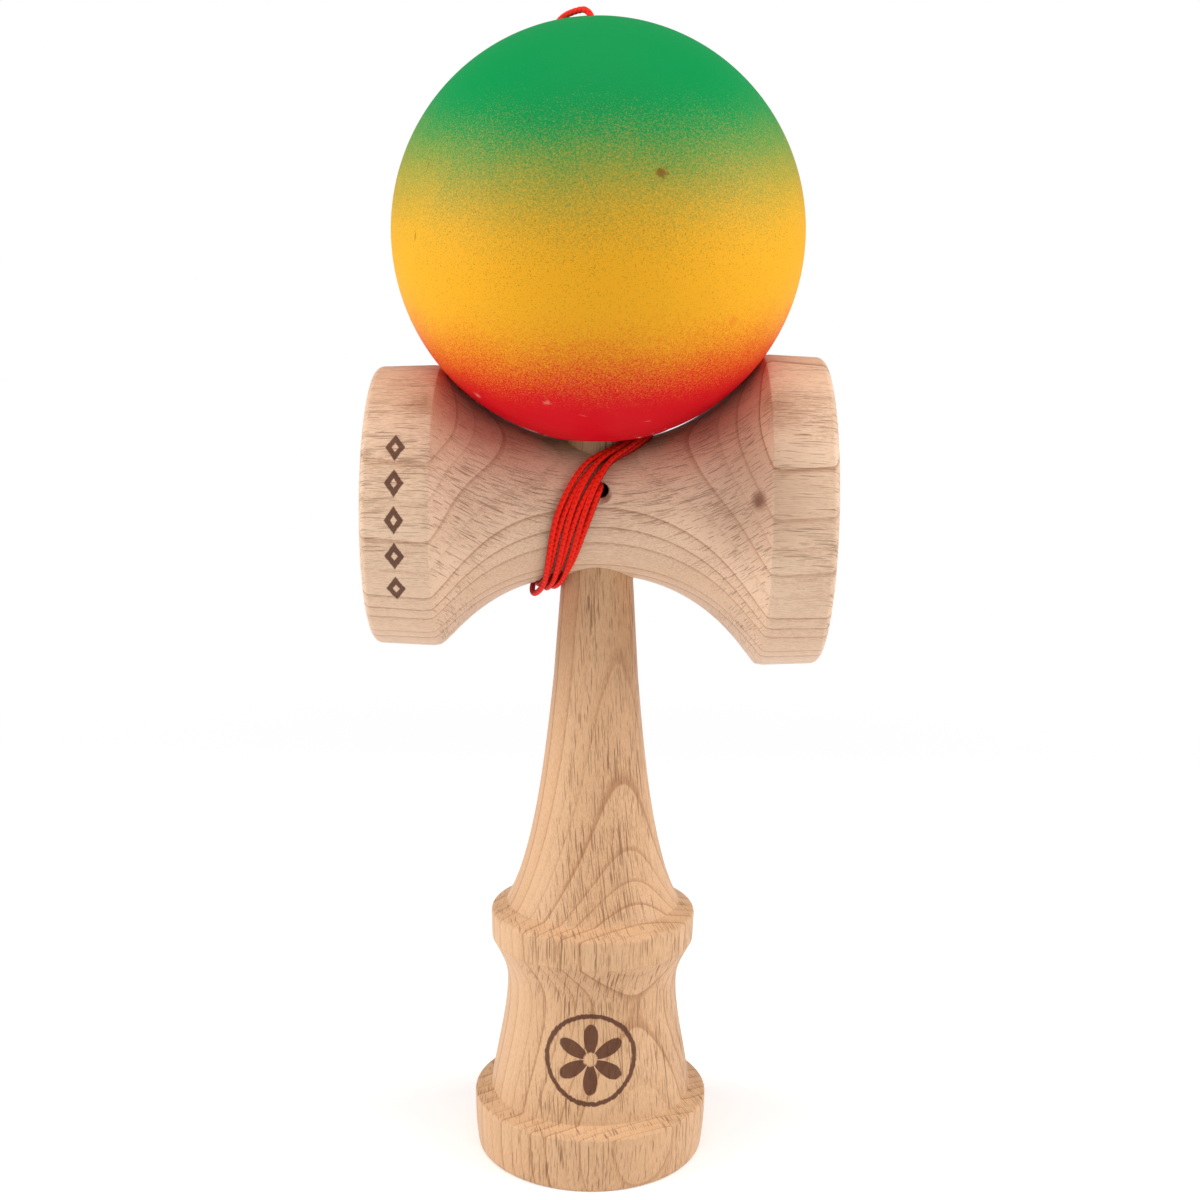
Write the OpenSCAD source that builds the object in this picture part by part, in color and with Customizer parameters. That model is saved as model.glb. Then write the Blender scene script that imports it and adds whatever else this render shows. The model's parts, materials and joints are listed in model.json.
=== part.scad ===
// Kendama: a turned handle, a cross-piece of two cups on it, a drilled ball on its spike,
// and one string that is wound round the waist between the cups.
// Millimetres. Z runs up the handle from the foot of its base, X runs along the two cups,
// and the front is at -Y.

/* [Ball] */
// Diameter of the ball
tama_d = 59.4; // [58:0.2:62]
// Diameter of the hole that takes the spike
tama_hole_d = 21; // [20.4:0.1:22]
// Wood left above that hole's end, up to the ball's highest point
tama_crown = 10.4; // [9.4:0.1:11.4]
// Width of the bevel round the hole's mouth
tama_bevel = 0.9; // [0.4:0.1:1.4]
// Diameter of the string's hole at the top of the ball
tama_top_hole_d = 2.4; // [1.8:0.1:3.4]
// How far the ball leans forward on the spike, in degrees
tama_tilt_front = 12.5; // [11:0.25:13]
// How far the ball leans to the left on the spike, in degrees
tama_tilt_side = 2; // [0:0.25:3]
// How far the ball's middle lies to the left of the spike
tama_shift = 0.5; // [0:0.1:1]

/* [Cups] */
// Length of the cross-piece from rim to rim
sarado_len = 66.6; // [64:0.2:69]
// Widest diameter of the big cup, on the right
big_cup_d = 46.8; // [45:0.2:48.4]
// Widest diameter of the small cup, on the left
small_cup_d = 42.3; // [41:0.1:44]
// Diameter of the waist between the cups
waist_d = 20; // [19:0.1:21]
// Width of the big cup's band, from its rim to the ridge that carries the ball
big_band = 9.2; // [8.5:0.1:10.5]
// Width of the small cup's band, from its rim to the ridge that carries the ball
small_band = 9.7; // [8.5:0.1:10.5]
// Depth of the big cup's bowl
big_bowl_depth = 13; // [9:0.5:15]
// Depth of the small cup's bowl
small_bowl_depth = 12; // [8:0.5:14]
// Width of the lips round the bowls
lip = 1.8; // [1.2:0.1:3]

/* [Handle] */
// Length of the handle from its foot to the tip of its spike
ken_len = 150; // [148:0.5:151]
// Height of the cups' axis above the foot
sarado_z = 101.8; // [100.8:0.2:103]
// Widest diameter of the base
base_d = 36.8; // [35:0.2:39]
// Height of the base's band
base_h = 8.6; // [7:0.2:11]
// Depth of the bowl under the base
base_bowl_depth = 6.5; // [5:0.25:8]
// Width of the flat ring that the handle stands on
base_ring = 1.9; // [1.2:0.1:3]
// Diameter of the neck at the foot of the base's ledge
foot_d = 31.6; // [29:0.2:33]
// Smallest diameter of the neck between the base and the collar
neck_d = 26.7; // [24:0.1:28.5]
// Height of the neck's narrowest place
neck_z = 27; // [24:0.5:29]
// Diameter of the collar
collar_d = 32; // [30.4:0.2:34]
// Height of the collar's lower edge
collar_z = 34.3; // [32.5:0.1:36]
// Width of the collar's band
collar_band = 4.4; // [3:0.1:5]
// Diameter of the shaft where it leaves the collar
shaft_foot_d = 27; // [25:0.2:28.6]
// Diameter of the shaft where it straightens
shaft_d = 13; // [12.6:0.1:14]
// Height where the shaft straightens
shaft_z = 76; // [70:0.5:82]
// Diameter of the shaft at the underside of the waist
seat_d = 11; // [10.9:0.1:12]
// Diameter of the spike at the top of the waist
spike_d = 10.6; // [9.8:0.1:10.8]
// Diameter of the spike just under its rounded tip
tip_d = 7.6; // [6.4:0.1:8]

/* [String] */
// Diameter of the string
string_d = 1; // [0.9:0.02:1.04]
// Diameter of the bead that keeps the string in the ball
bead_d = 6.8; // [5.5:0.1:7.2]
// Length of the bead
bead_len = 6.2; // [5:0.1:6.8]
// Diameter of the string's two knots
knot_d = 3.2; // [2.6:0.1:3.6]
// Length of the string's two knots
knot_len = 2.6; // [2:0.1:3]
// Diameter of the hole for the string through the cross-piece and the handle
string_hole_d = 2.6; // [1.8:0.1:3]
// Height of that hole above the cups' axis
string_hole_rise = 3.5; // [2.5:0.1:4.5]
// How far that hole lies to the right of the handle's axis
string_hole_shift = 1; // [0.8:0.1:1.4]
// Width of the bevel round that hole's mouth
string_hole_bevel = 0.5; // [0.2:0.1:0.8]

/* [Fits] */
// Gap all round the handle in the bore of the cross-piece
bore_gap = 0.05; // [0.02:0.01:0.1]
// Gap between the ball and what it rests on
rest_gap = 0.2; // [0.15:0.05:0.4]
// Gap between the string's first layer and the waist
lay_gap = 0.25; // [0.15:0.05:0.4]
// Gap round the string in the bead
bead_gap = 0.1; // [0.05:0.05:0.3]
// Gap round the knot in its pocket in the handle
pocket_gap = 0.4; // [0.2:0.1:0.6]

/* [Hidden] */
$fn = 96;
// Rounding of the turned edges
edge_r = 0.45;
// Rounding of the cups' rims
rim_r = 1.1;
// Points along a turned curve
curve_n = 16;
// Points along a rounded edge
edge_n = 5;
// A little more than nothing, so that a cut runs past its face
past = 1;

waist_r = waist_d / 2;
sarado_half = sarado_len / 2;
tama_r = tama_d / 2;
hole_r = tama_hole_d / 2;
string_r = string_d / 2;

function unit(v) = v / norm(v);
function bezier(a, b, c, d, n) = [
    for (i = [0 : n])
        let (t = i / n, s = 1 - t)
        s * s * s * a + 3 * s * s * t * b + 3 * s * t * t * c + t * t * t * d
];
// The arc of radius r that rounds the corner b between a and c
function corner(a, b, c, r) =
    let (
        to_a = unit(a - b),
        to_c = unit(c - b),
        half = acos(to_a * to_c) / 2,
        middle = b + unit(to_a + to_c) * r / sin(half),
        from = b + to_a * r / tan(half) - middle,
        to = b + to_c * r / tan(half) - middle
    )
    [for (i = [0 : edge_n]) middle + r * unit(from + (to - from) * i / edge_n)];
// A bowl's arc from its middle, at the height depth, out to its mouth at height 0
function bowl(mouth, depth) =
    let (
        r = (mouth * mouth + depth * depth) / (2 * depth),
        reach = asin(mouth / r)
    )
    [
        for (i = [0 : curve_n])
            let (a = reach * i / curve_n)
            [r * sin(a), depth - r + r * cos(a)]
    ];

// One cup's half outline as [distance from the waist, radius], from the waist to the rim
band_swell = 0.15;
band_taper = 0.35;
flare_run = 16;
function cup_outline(d, band, pull) =
    let (
        ridge = [sarado_half - band, d / 2 - band_swell],
        swell = [ridge[0] + 1, d / 2],
        rim = [sarado_half, d / 2 - band_taper],
        flare = bezier([0, waist_r], [flare_run, waist_r], ridge - pull, ridge, curve_n)
    )
    concat(
        [for (i = [0 : curve_n - 1]) flare[i]],
        corner(flare[curve_n - 1], ridge, swell, edge_r),
        [swell],
        corner(swell, rim, rim - [0, lip], rim_r)
    );
big_pull = [2.1, 2.1];
small_pull = [2.6, 1.6];
big_outline = cup_outline(big_cup_d, big_band, big_pull);
small_outline = cup_outline(small_cup_d, small_band, small_pull);
big_mouth = big_cup_d / 2 - band_taper - lip;
small_mouth = small_cup_d / 2 - band_taper - lip;

// The waist's radius at any place along X
waist_table = concat(
    [for (i = [curve_n - 1 : -1 : 1]) [-small_outline[i][0], small_outline[i][1]]],
    [for (i = [0 : curve_n - 1]) big_outline[i]]
);
function waist_at(x) = lookup(x, waist_table);

// How far the base's side draws in at its foot, and the rise of the two ledges over their bands
base_draw = 0.6;
base_ledge = 1;
collar_ledge = 1.4;
// Rounding of the collar's upper edge
collar_r = 0.9;
// The pulls that shape the handle's turned curves, as [outward, upward]
base_pull = [0.5, 2.8];
foot_pull = [-0.7, 6];
neck_pull = [0, 5.6];
collar_pull = [1.5, 2.8];
swoop_pull = [-4.15, 7.55];
shaft_pull = [-1.15, 12.4];
// The seat in the cross-piece, which runs past its underside, and the foot of the spike's tip
seat_past = 1;
seat_low = sarado_z - waist_r - seat_past;
seat_high = sarado_z + waist_r;
tip_round = 2.4;
tip_z = ken_len - tip_round;

// Where the ball rests: its middle is as far from the cups' axis as the cups' outlines
// allow, and it leans forward until the wall of its hole meets the spike's tip
function rest_distance(outline, side) = max([
    for (p = outline)
        let (away = side * p[0] + tama_shift)
        p[1] + sqrt(max(0, pow(tama_r + rest_gap, 2) - away * away))
]);
tama_rise = max(rest_distance(big_outline, 1), rest_distance(small_outline, -1));
function lean_at(z) =
    (hole_r - tip_d / 2 - rest_gap - (tip_z - z) * sin(tama_tilt_front)) / cos(tama_tilt_front);
lean_first = lean_at(sarado_z + tama_rise);
tama_lean = lean_at(sarado_z + sqrt(tama_rise * tama_rise - lean_first * lean_first));
tama_c = [
    -tama_shift,
    -tama_lean,
    sarado_z + sqrt(tama_rise * tama_rise - tama_lean * tama_lean)
];
tama_axis = [
    -cos(tama_tilt_front) * sin(tama_tilt_side),
    -sin(tama_tilt_front),
    cos(tama_tilt_front) * cos(tama_tilt_side)
];

// Heights along the ball's own axis, from its middle
hole_end = tama_r - tama_crown;
bead_top = hole_end - rest_gap;
bead_foot = bead_top - bead_len;
string_sunk = 0.8;
string_out = tama_r - string_sunk;
string_exit = tama_c + tama_axis * string_out;

// The pocket in the handle that holds the knot, as places along Y
pocket_floor = 0.8;
string_z = sarado_z + string_hole_rise;
string_mouth = -sqrt(waist_r * waist_r - string_hole_rise * string_hole_rise);

// The winding goes down the front, left under the shaft, up the back and right over
// the top. lay_x is the bundle's middle at every twelfth of a turn, from the front on
lay_x = [-3.3, -4.8, -6.4, -8.4, -7, -4.2, -1, 1.8, 4.6, 7.4, 4.4, -0.4];
loops_per_layer = 3;
loop_rings = 24;
wrap_sides = 6;
lay_step = 1.8;
layer_step = 1.49;
lay_half = lay_step * (loops_per_layer - 0.5) / 2;
wrap_last = 131;
function spline(a, b, c, d, t) =
    b + 0.5 * t * (c - a + t * (2 * a - 5 * b + 4 * c - d + t * (3 * (b - c) + d - a)));
function lay_at(turn) =
    let (
        n = len(lay_x),
        place = (turn - floor(turn)) * n,
        i = floor(place)
    )
    spline(lay_x[(i + n - 1) % n], lay_x[i], lay_x[(i + 1) % n], lay_x[(i + 2) % n], place - i);
// The nearest that a strand may come to the handle's axis, where it passes at the depth y:
// it bends round the wood, and runs on straight from there
bend_to = 60;
function clear_of(r, y) =
    let (edge = r * sin(bend_to))
    abs(y) < edge ? sqrt(r * r - y * y) : r * cos(bend_to) - (abs(y) - edge) * tan(bend_to);
// How much wider the bundle lies along X where it runs aslant
slant_step = 1 / loop_rings;
function slant_at(turn) =
    let (run = (lay_at(turn + slant_step) - lay_at(turn - slant_step)) / (4 * PI * slant_step * waist_r))
    sqrt(1 + run * run);
// The bundle's middle, moved over so that its strands clear the spike and the shaft
wood_gap = string_r + lay_gap;
function middle_at(turn) =
    let (
        a = 360 * turn,
        y = -(waist_r + wood_gap) * cos(a),
        lay = lay_at(turn),
        half = lay_half * slant_at(turn)
    )
    sin(a) < 0 ? max(lay, clear_of(spike_d / 2 + wood_gap, y) + half)
    : min(lay, -clear_of(seat_d / 2 + wood_gap, y) - half);
// The half turn in which the winding climbs to its second layer and turns back
climb_from = loops_per_layer - 0.5;
function climb(turn) = let (t = min(1, max(0, 2 * (turn - climb_from)))) t * t * (3 - 2 * t);
function offset_at(turn) =
    turn < climb_from ? lay_half - lay_step * turn
    : -lay_half + lay_step * max(0, turn - loops_per_layer);
function wrap_point(turn) =
    let (
        a = 360 * turn,
        x = middle_at(turn) + offset_at(turn) * slant_at(turn),
        r = waist_at(x) + wood_gap + layer_step * climb(turn)
    )
    [x, -r * cos(a), sarado_z - r * sin(a)];
// The string comes straight out of its hole before it winds, and ends straight behind
wrap_start = [
    [string_hole_shift, string_mouth, string_z],
    [string_hole_shift, string_mouth - 1.2, string_z],
    [string_hole_shift - 0.4, string_mouth - 1.5, string_z - 1.4]
];
wrap_end = [
    [1.6, waist_r + 2.6, sarado_z + 0.6],
    [1.7, waist_r + 3, sarado_z + 2],
    [1.7, waist_r + 3.4, sarado_z + 3.4]
];
wrap_route = concat(
    wrap_start,
    [for (i = [0 : wrap_last]) wrap_point(i / loop_rings)],
    wrap_end
);

// The free stretch goes up to the ball's back, lies over it and drops into its hole.
// lie_over holds, for each point over the ball, its place along X from the ball's middle
// and its angle about the X axis, from straight behind up and over to the front
lie_over = [
    [1.6, -38], [1.1, -28], [0.4, -18], [-0.6, -8], [-1.7, 3], [-2.9, 14], [-4.1, 25], [-5.2, 36],
    [-6.2, 46], [-7, 56], [-7.4, 66], [-7.4, 75], [-7, 84], [-6.3, 92], [-5, 98.5], [-3.2, 102.5]
];
lie_gap = 0.6;
lie_r = tama_r + string_r + lie_gap;
function over_tama(x, a) = tama_c + [x, 0, 0] + sqrt(lie_r * lie_r - x * x) * [0, cos(a), sin(a)];
riser_foot = wrap_end[2];
riser_route = concat(
    [
        riser_foot,
        riser_foot + [0, 0.8, 2.8],
        riser_foot + [0.1, 2.6, 7.8],
        riser_foot + [-0.1, 4.5, 12.4]
    ],
    [for (p = lie_over) over_tama(p[0], p[1])],
    [
        string_exit + tama_axis * 1.3,
        string_exit
    ]
);

// Points halfway along each stretch, among the points themselves
function halved(route) = [
    for (i = [0 : 2 * len(route) - 2])
        i % 2 == 0 ? route[i / 2] : (route[(i - 1) / 2] + route[(i + 1) / 2]) / 2
];
// The least gap between stretches of a tube that are at least apart points from each other
function least_gap(route, d, apart) =
    min([
        for (i = [0 : len(route) - apart - 1])
            min([for (j = [i + apart : len(route) - 1]) norm(route[i] - route[j])])
    ]) - d;
echo(wrap_least_gap = least_gap(halved(wrap_route), string_d, loop_rings));
echo(tama_middle = tama_c, tama_axis = tama_axis, string_exit = string_exit);

// The directions along a route, one at each point
function directions(route) = [
    for (i = [0 : len(route) - 1])
        unit(route[min(i + 1, len(route) - 1)] - route[max(i - 1, 0)])
];
function square_to(v, along) = unit(v - (v * along) * along);
// A closed tube along a route, with its rings carried on without twisting
module tube(route, d, sides) {
    along = directions(route);
    last = len(route) - 1;
    up = [
        for (i = 0, v = square_to([0.3, 0.2, 1], along[0]); i <= last;
             i = i + 1, v = i <= last ? square_to(v, along[i]) : v) v
    ];
    rings = [
        for (i = [0 : last], k = [0 : sides - 1])
            let (a = 360 * k / sides)
            route[i] + d / 2 * (cos(a) * up[i] + sin(a) * cross(along[i], up[i]))
    ];
    function at(i, k) = i * sides + k % sides;
    sleeve = [
        for (i = [0 : last - 1], k = [0 : sides - 1], half = [0, 1])
            half == 0 ? [at(i, k), at(i + 1, k), at(i, k + 1)]
            : [at(i, k + 1), at(i + 1, k), at(i + 1, k + 1)]
    ];
    caps = [
        for (k = [1 : sides - 2], end = [0, 1])
            end == 0 ? [at(0, 0), at(0, k), at(0, k + 1)]
            : [at(last, 0), at(last, k + 1), at(last, k)]
    ];
    polyhedron(rings, concat(sleeve, caps));
}

// A turned piece about the cups' axis, from [place along X, radius] points
module turned_along_x(outline) {
    translate([0, 0, sarado_z])
    rotate([0, 90, 0])
    rotate_extrude()
    polygon([for (p = outline) [p[1], p[0]]]);
}
// A cylinder along Y at the height of the string's hole, from the back to the front
module along_y(d, back, front) {
    translate([string_hole_shift, back, string_z])
    rotate([90, 0, 0])
    cylinder(h = back - front, d = d);
}
// Places its children on the ball's own axis
module on_tama_axis() {
    translate(tama_c)
    rotate([tama_tilt_front, -tama_tilt_side, 0])
    children();
}
// A round body of the string's knot, flat at both ends
module knot() {
    knot_round = 0.9;
    flat = [0, 0];
    side = [knot_d / 2, 0];
    top = [knot_d / 2, knot_len];
    rotate_extrude()
    polygon(concat([flat], corner(flat, side, top, knot_round),
        corner(side, top, [0, knot_len], knot_round), [[0, knot_len]]));
}
// The shaft in its seat, with a gap added all round
module seat(gap, more) {
    slope = (seat_d - spike_d) / 2 / (seat_high - seat_low);
    translate([0, 0, seat_low - more])
    cylinder(h = seat_high - seat_low + 2 * more,
        r1 = seat_d / 2 + slope * more + gap,
        r2 = spike_d / 2 - slope * more + gap);
}

module ken() {
    base_r = base_d / 2;
    base_side = [base_r - base_draw, 0];
    base_ridge = [base_r, base_h];
    foot = [foot_d / 2, base_h + base_ledge];
    neck = [neck_d / 2, neck_z];
    collar_low = [collar_d / 2 - band_swell, collar_z];
    collar_high = [collar_d / 2, collar_z + collar_band];
    shaft_foot = [shaft_foot_d / 2, collar_high[1] + collar_ledge];
    straight = [shaft_d / 2, shaft_z];
    belly = bezier(base_side, base_side + base_pull, base_ridge - [0, base_pull[1]], base_ridge, curve_n / 2);
    neck_low = bezier(foot, foot + foot_pull, neck - neck_pull, neck, curve_n);
    neck_high = bezier(neck, neck + neck_pull / 2, collar_low - collar_pull, collar_low, curve_n / 2);
    swoop = bezier(shaft_foot, shaft_foot + swoop_pull, straight - shaft_pull, straight, curve_n);
    outline = concat(
        bowl(base_side[0] - edge_r - base_ring, base_bowl_depth),
        corner([0, 0], base_side, belly[1], edge_r),
        [for (i = [1 : len(belly) - 2]) belly[i]],
        corner(belly[len(belly) - 2], base_ridge, foot, edge_r),
        neck_low,
        [for (i = [1 : len(neck_high) - 2]) neck_high[i]],
        corner(neck_high[len(neck_high) - 2], collar_low, collar_high, edge_r),
        corner(collar_low, collar_high, shaft_foot, collar_r),
        swoop,
        [[seat_d / 2, seat_low], [spike_d / 2, seat_high], [tip_d / 2, tip_z]],
        [for (a = [15 : 15 : 90]) [tip_d / 2 - tip_round + tip_round * cos(a), tip_z + tip_round * sin(a)]],
        [[0, ken_len]]
    );
    color("burlywood")
    difference() {
        rotate_extrude() polygon(outline);
        along_y(string_hole_d, pocket_floor + past, -seat_d);
        along_y(knot_d + 2 * pocket_gap, seat_d, pocket_floor);
    }
}

module sarado() {
    last_big = len(big_outline) - 1;
    last_small = len(small_outline) - 1;
    big_bowl = bowl(big_mouth, big_bowl_depth);
    small_bowl = bowl(small_mouth, small_bowl_depth);
    outline = concat(
        [for (p = small_bowl) [p[1] - sarado_half, p[0]]],
        [for (i = [last_small : -1 : 1]) [-small_outline[i][0], small_outline[i][1]]],
        big_outline,
        [for (i = [curve_n : -1 : 0]) [sarado_half - big_bowl[i][1], big_bowl[i][0]]]
    );
    color("tan")
    difference() {
        turned_along_x(outline);
        seat(bore_gap, 2 * past);
        along_y(string_hole_d, 0, -waist_d);
        translate([string_hole_shift, string_mouth + string_hole_bevel, string_z])
        rotate([90, 0, 0])
        cylinder(h = 2 * string_hole_bevel, d1 = string_hole_d, d2 = string_hole_d + 4 * string_hole_bevel);
    }
}

module tama() {
    mouth_z = -sqrt(tama_r * tama_r - hole_r * hole_r);
    color("orangered")
    difference() {
        translate(tama_c) sphere(r = tama_r);
        on_tama_axis() {
            translate([0, 0, -tama_r - past])
            cylinder(h = hole_end + tama_r + past, r = hole_r);
            translate([0, 0, mouth_z - tama_bevel])
            cylinder(h = 2 * tama_bevel, r1 = hole_r + 2 * tama_bevel, r2 = hole_r);
            cylinder(h = tama_r + past, d = tama_top_hole_d);
        }
    }
}

module string_anchor() {
    color("firebrick")
    along_y(string_d, pocket_floor, string_mouth);
}

module ken_knot() {
    color("firebrick")
    translate([string_hole_shift, pocket_floor, string_z])
    rotate([-90, 0, 0])
    knot();
}

module string_wrap() {
    color("firebrick")
    tube(wrap_route, string_d, wrap_sides);
}

module string_riser() {
    color("firebrick")
    tube(riser_route, string_d, 8);
}

module string_in_tama() {
    color("firebrick")
    on_tama_axis()
    translate([0, 0, bead_foot])
    cylinder(h = string_out - bead_foot, d = string_d);
}

module string_bead() {
    bead_round = 2;
    bore_r = string_r + bead_gap;
    low_in = [bore_r, 0];
    low = [bead_d / 2, 0];
    high = [bead_d / 2, bead_len];
    high_in = [bore_r, bead_len];
    color("wheat")
    on_tama_axis()
    translate([0, 0, bead_foot])
    rotate_extrude()
    polygon(concat([low_in], corner(low_in, low, high, bead_round),
        corner(low, high, high_in, bead_round), [high_in]));
}

module tama_knot() {
    color("firebrick")
    on_tama_axis()
    translate([0, 0, bead_foot - knot_len])
    knot();
}

ken();
sarado();
tama();
string_anchor();
ken_knot();
string_wrap();
string_riser();
string_in_tama();
string_bead();
tama_knot();
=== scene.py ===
import json
import math

import bmesh
import bpy
import numpy as np
from bpy.props import FloatProperty, FloatVectorProperty, IntProperty, PointerProperty
from mathutils import Euler, Matrix, Vector


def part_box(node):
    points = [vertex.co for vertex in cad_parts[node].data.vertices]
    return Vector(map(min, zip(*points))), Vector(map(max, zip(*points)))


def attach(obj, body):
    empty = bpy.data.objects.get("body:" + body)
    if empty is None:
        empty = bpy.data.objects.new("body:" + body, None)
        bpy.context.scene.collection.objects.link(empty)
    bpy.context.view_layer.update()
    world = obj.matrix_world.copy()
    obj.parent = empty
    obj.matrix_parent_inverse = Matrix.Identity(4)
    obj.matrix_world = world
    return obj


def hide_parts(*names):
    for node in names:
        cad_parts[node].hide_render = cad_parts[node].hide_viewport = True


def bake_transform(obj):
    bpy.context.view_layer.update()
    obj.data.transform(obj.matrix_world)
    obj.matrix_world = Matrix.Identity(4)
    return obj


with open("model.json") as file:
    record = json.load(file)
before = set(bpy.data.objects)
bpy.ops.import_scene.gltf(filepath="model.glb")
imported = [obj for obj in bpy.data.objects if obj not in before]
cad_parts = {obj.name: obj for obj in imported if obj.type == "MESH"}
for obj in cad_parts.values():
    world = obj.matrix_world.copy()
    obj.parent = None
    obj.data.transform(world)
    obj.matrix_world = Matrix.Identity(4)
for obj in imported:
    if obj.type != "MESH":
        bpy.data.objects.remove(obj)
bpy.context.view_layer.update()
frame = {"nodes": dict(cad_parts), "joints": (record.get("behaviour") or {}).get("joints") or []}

bl_info = {
    "name": "Kendama",
    "version": (1, 0, 0),
    "blender": (4, 5, 0),
    "location": "View3D > Sidebar > Kendama",
    "description": "Dresses the packed kendama in turned beech, sprayed paint and braided string",
    "category": "Add Mesh",
}

# The outlines and routes are in millimetres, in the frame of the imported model
MM = 0.001
spin = next(joint for joint in frame["joints"] if joint["name"] == "tama_spin")
tama_middle = np.array(spin["pos_m"]) / MM
tama_axis = np.array(spin["axis"])
# The ball leans to the front and a little to the left
tama_turn = Euler((math.radians(12.5), math.radians(-2), 0))
sarado_z = (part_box("sarado")[0].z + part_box("sarado")[1].z) / 2 / MM
# Where the string leaves the waist, and the radii of its hole and of that hole's countersink
string_hole = np.array([0.4, -9.3675, sarado_z + 3.5])
bore_r, sink_r = 1.15, 1.9


def colour(code):
    """A colour as it is seen on a screen, such as D9B08A, as the linear values that Blender uses."""
    seen = [int(code[i:i + 2], 16) / 255 for i in (0, 2, 4)]
    return tuple(v / 12.92 if v <= 0.04045 else ((v + 0.055) / 1.055) ** 2.4 for v in seen)


def length_prop(name, description, default):
    return FloatProperty(name=name, description=description, default=default, min=0, unit="LENGTH",
                         precision=5)


def share_prop(name, description, default):
    return FloatProperty(name=name, description=description, default=default, min=0, max=1, subtype="FACTOR")


def colour_prop(name, description, code):
    return FloatVectorProperty(name=name, description=description, default=colour(code), min=0, max=1,
                               subtype="COLOR")


class KendamaStageSettings(bpy.types.PropertyGroup):
    sky: FloatProperty(name="Sky", description="Light that comes evenly from all round", default=0.32, min=0)
    side_watts: FloatProperty(name="Side lamps", description="Power of each of the two lamps beside the part",
                              default=1.38, min=0, unit="POWER")
    top_watts: FloatProperty(name="Top lamp", description="Power of the lamp above the part",
                             default=1.05, min=0, unit="POWER")
    floor: colour_prop("Floor", "Colour of the floor", "F4F4F4")


class KendamaKenSettings(bpy.types.PropertyGroup):
    length: length_prop("Length", "From the foot of the base to the spike's tip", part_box("ken")[1].z)
    base: length_prop("Base", "Diameter of the base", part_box("ken")[1].x * 2)
    collar: length_prop("Collar", "Diameter of the collar", 0.032)
    rosette: length_prop("Rosette", "Radius of the burned rosette on the neck", 0.0056)
    ring: length_prop("Growth ring", "Usual width of a growth ring", 0.0028)
    pale: colour_prop("Early wood", "The paler wood of a growth ring", "E0B58B")
    dark: colour_prop("Late wood", "The darker wood of a growth ring", "C08C61")
    pore: colour_prop("Fleck", "The short flecks along the grain", "7E5233")
    pith: length_prop("Pith", "How far the pith of the tree lay from the piece's middle", 0.034)
    sway: length_prop("Sway", "How far the growth rings wander along the grain", 0.0026)
    tighten: share_prop("Tighten", "How much narrower the outer rings get", 0.045)
    rings: share_prop("Rings", "How much the growth rings stand out", 0.55)
    flecks: share_prop("Flecks", "How much the flecks stand out", 0.66)


class KendamaSaradoSettings(bpy.types.PropertyGroup):
    length: length_prop("Length", "From rim to rim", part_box("sarado")[1].x * 2)
    big_cup: length_prop("Big cup", "Diameter of the big cup", 0.0468)
    small_cup: length_prop("Small cup", "Diameter of the small cup", 0.0423)
    waist: length_prop("Waist", "Diameter of the waist", 0.02)
    ring: length_prop("Growth ring", "Usual width of a growth ring", 0.0027)
    pale: colour_prop("Early wood", "The paler wood of a growth ring", "EBCAAC")
    dark: colour_prop("Late wood", "The darker wood of a growth ring", "C09272")
    pore: colour_prop("Fleck", "The short flecks along the grain", "7A5038")
    pith: length_prop("Pith", "How far the pith of the tree lay from the piece's middle", 0.047)
    sway: length_prop("Sway", "How far the growth rings wander along the grain", 0.004)
    tighten: share_prop("Tighten", "How much narrower the outer rings get", 0)
    rings: share_prop("Rings", "How much the growth rings stand out", 0.55)
    flecks: share_prop("Flecks", "How much the flecks stand out", 0.46)


class KendamaTamaSettings(bpy.types.PropertyGroup):
    diameter: length_prop("Diameter", "Diameter of the ball", 0.0594)
    hole: length_prop("Spike's hole", "Diameter of the hole for the spike", 0.021)
    crown: length_prop("Crown", "Wood left above the spike's hole", 0.0104)
    bevel: length_prop("Bevel", "Width of the bevel at the hole's mouth", 0.0009)
    string_hole: length_prop("String's hole", "Diameter of the hole for the string", 0.0024)
    crown_paint: colour_prop("Crown paint", "Paint sprayed on from above", "018D48")
    middle_paint: colour_prop("Middle paint", "Paint round the middle", "F2AD24")
    foot_paint: colour_prop("Foot paint", "Paint sprayed on from below", "DA0E20")
    primer: colour_prop("Primer", "White undercoat where paint is chipped", "EFE6DC")


class KendamaStringSettings(bpy.types.PropertyGroup):
    diameter: length_prop("Diameter", "Diameter of the string", 0.0009)
    braid: length_prop("Braid", "Length in which the braid repeats", 0.0009)
    relief: length_prop("Relief", "Height of the braid on the string's surface", 0.00005)
    ring_step: length_prop("Ring step", "Distance between the rings of the mesh", 0.0002)
    sides: IntProperty(name="Sides", description="Sides of the string's mesh", default=16, min=6)
    bright: colour_prop("Crests", "The braid's crests", "FF2A1A")
    deep: colour_prop("Hollows", "The hollows between the braid's strands", "D01C12")
    # Painted shade: the colour that darkens the strands' sides where the loops of the winding touch
    shadow: colour_prop("Between", "The shaded sides where the loops of the winding touch", "7A0C0C")


class KendamaSettings(bpy.types.PropertyGroup):
    stage: PointerProperty(type=KendamaStageSettings, name="Stage", description="Light and floor")
    ken: PointerProperty(type=KendamaKenSettings, name="Handle", description="The turned handle")
    sarado: PointerProperty(type=KendamaSaradoSettings, name="Cross-piece",
                            description="The turned cross-piece")
    tama: PointerProperty(type=KendamaTamaSettings, name="Ball", description="The painted ball")
    string: PointerProperty(type=KendamaStringSettings, name="String", description="The braided string")


# Outlines and routes

def bezier(a, b, c, d, n=48):
    a, b, c, d = (np.array(p, float) for p in (a, b, c, d))
    t = np.linspace(0, 1, n + 1)[:, None]
    s = 1 - t
    return s ** 3 * a + 3 * s * s * t * b + 3 * s * t * t * c + t ** 3 * d


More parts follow.
